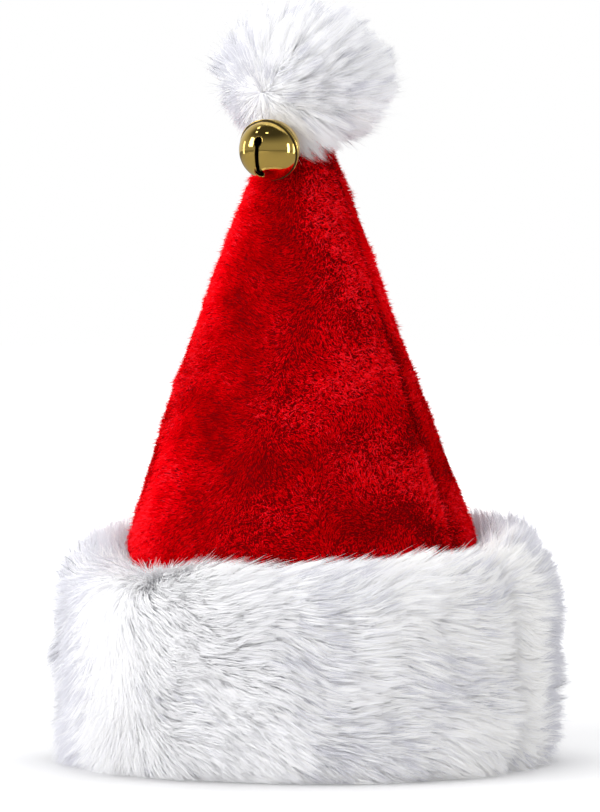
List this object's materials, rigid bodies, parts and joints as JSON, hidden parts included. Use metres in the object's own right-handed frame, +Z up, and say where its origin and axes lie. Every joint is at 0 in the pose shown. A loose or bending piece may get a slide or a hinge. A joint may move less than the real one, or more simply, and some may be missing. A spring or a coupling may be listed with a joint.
{
  "type": "santa hat",
  "caption": "Standing plush cone hat with a folded fur band, a fur pompom at the tip and a slotted jingle bell sewn below it.",
  "frame": {"origin": "middle of the overall box, on the underside of the fur band, which is the plane the hat stands on", "axes": "+Z up to the pompom, -Y towards the side that carries the bell, +X to the right as seen from that side"},
  "size_m": [0.259, 0.24, 0.3762],
  "materials": {
    "red_plush": "soft brushed pile",
    "white_fur": "long soft faux fur",
    "bell_gold": "mirror polished plating",
    "pellet_steel": "plain",
    "red_thread": "matt"
  },
  "bodies": {
    "root": {"crown": "red_plush", "cuff": "white_fur", "pompom": "white_fur", "bell_front_cup": "bell_gold", "bell_back_cup": "bell_gold", "bell_pellet": "pellet_steel", "bell_thread": "red_thread"}
  },
  "joints": []
}
